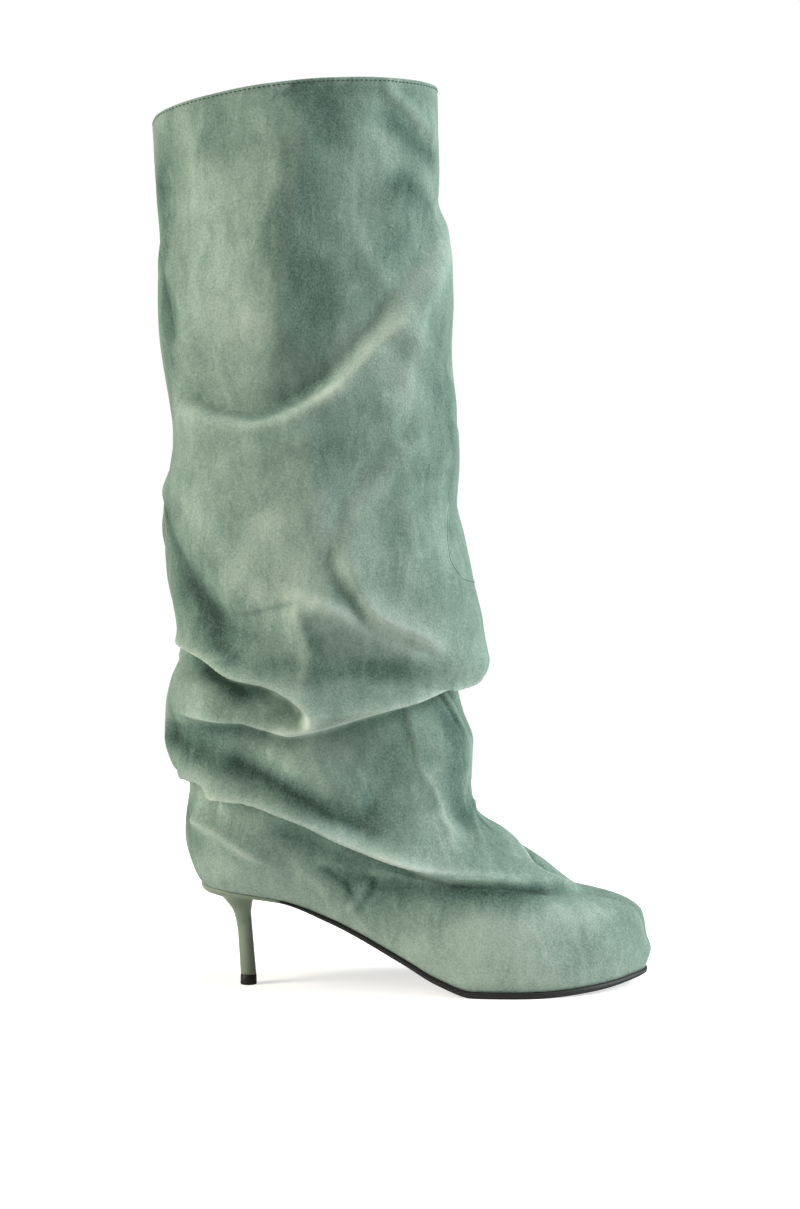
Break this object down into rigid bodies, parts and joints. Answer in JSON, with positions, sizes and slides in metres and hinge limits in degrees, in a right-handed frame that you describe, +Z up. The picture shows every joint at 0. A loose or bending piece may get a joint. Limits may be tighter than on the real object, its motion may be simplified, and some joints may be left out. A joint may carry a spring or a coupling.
{
  "type": "stiletto boot",
  "caption": "Knee-high slouch boot with a loose folded shaft, rounded cleft toe, thin flat sole and a slim pin heel with a small top lift",
  "frame": {"origin": "on the floor under the middle of the boot's box", "axes": "+Z up, +X from heel to toe, -Y the outer side of the foot"},
  "size_m": [0.2596, 0.1148, 0.4648],
  "materials": {
    "suede": "brushed sage green suede",
    "sole": "matt black",
    "sock": "smooth lining leather",
    "heel": "satin sage green paint",
    "lift": "hard black"
  },
  "bodies": {
    "root": {"upper": "suede", "outsole": "sole", "insole": "sock", "heel": "heel", "top_lift": "lift"}
  },
  "joints": []
}
